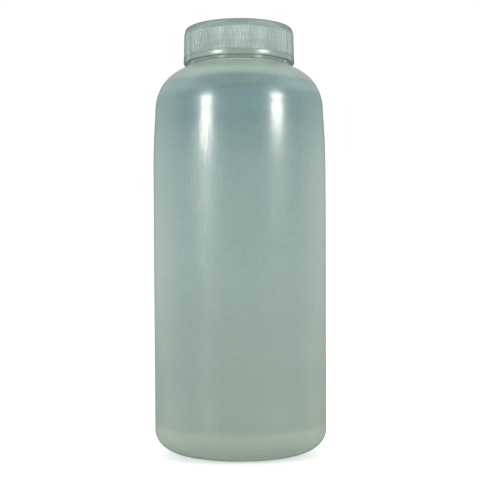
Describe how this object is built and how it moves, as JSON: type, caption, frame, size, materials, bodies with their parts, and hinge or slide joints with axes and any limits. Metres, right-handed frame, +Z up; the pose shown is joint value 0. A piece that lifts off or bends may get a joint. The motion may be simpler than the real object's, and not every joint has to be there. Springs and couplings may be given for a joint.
{
  "type": "reagent bottle",
  "caption": "Round wide-mouth plastic reagent bottle, about one litre, with a rounded shoulder and a ribbed screw cap that unscrews and lifts off.",
  "frame": {"origin": "centre of the bottle's base, on the surface that it stands on", "axes": "+Z up along the bottle's axis, -Y towards the front"},
  "size_m": [0.088, 0.088, 0.2154],
  "materials": {
    "bottle_plastic": "natural translucent polypropylene, satin gloss with fine scuffs",
    "cap_plastic": "natural translucent polypropylene, satin",
    "liner_foam": "closed-cell polyethylene foam, matt"
  },
  "bodies": {
    "bottle": {"bottle": "bottle_plastic"},
    "liner": {"cap_liner": "liner_foam"},
    "cap": {"screw_cap": "cap_plastic"}
  },
  "joints": [
    {"name": "cap_lift", "type": "slide", "parent": "bottle", "child": "liner", "axis": [0, 0, 1], "range_m": [0, 0.0594]},
    {"name": "cap_turn", "type": "hinge", "parent": "liner", "child": "cap", "pos_m": [0, 0, 0.2], "axis": [0, 0, 1], "range_deg": [0, 5040]}
  ],
  "couplings": [
    {"joint": "cap_lift", "follows": "cap_turn", "m_per_rad": 0.0006737}
  ]
}
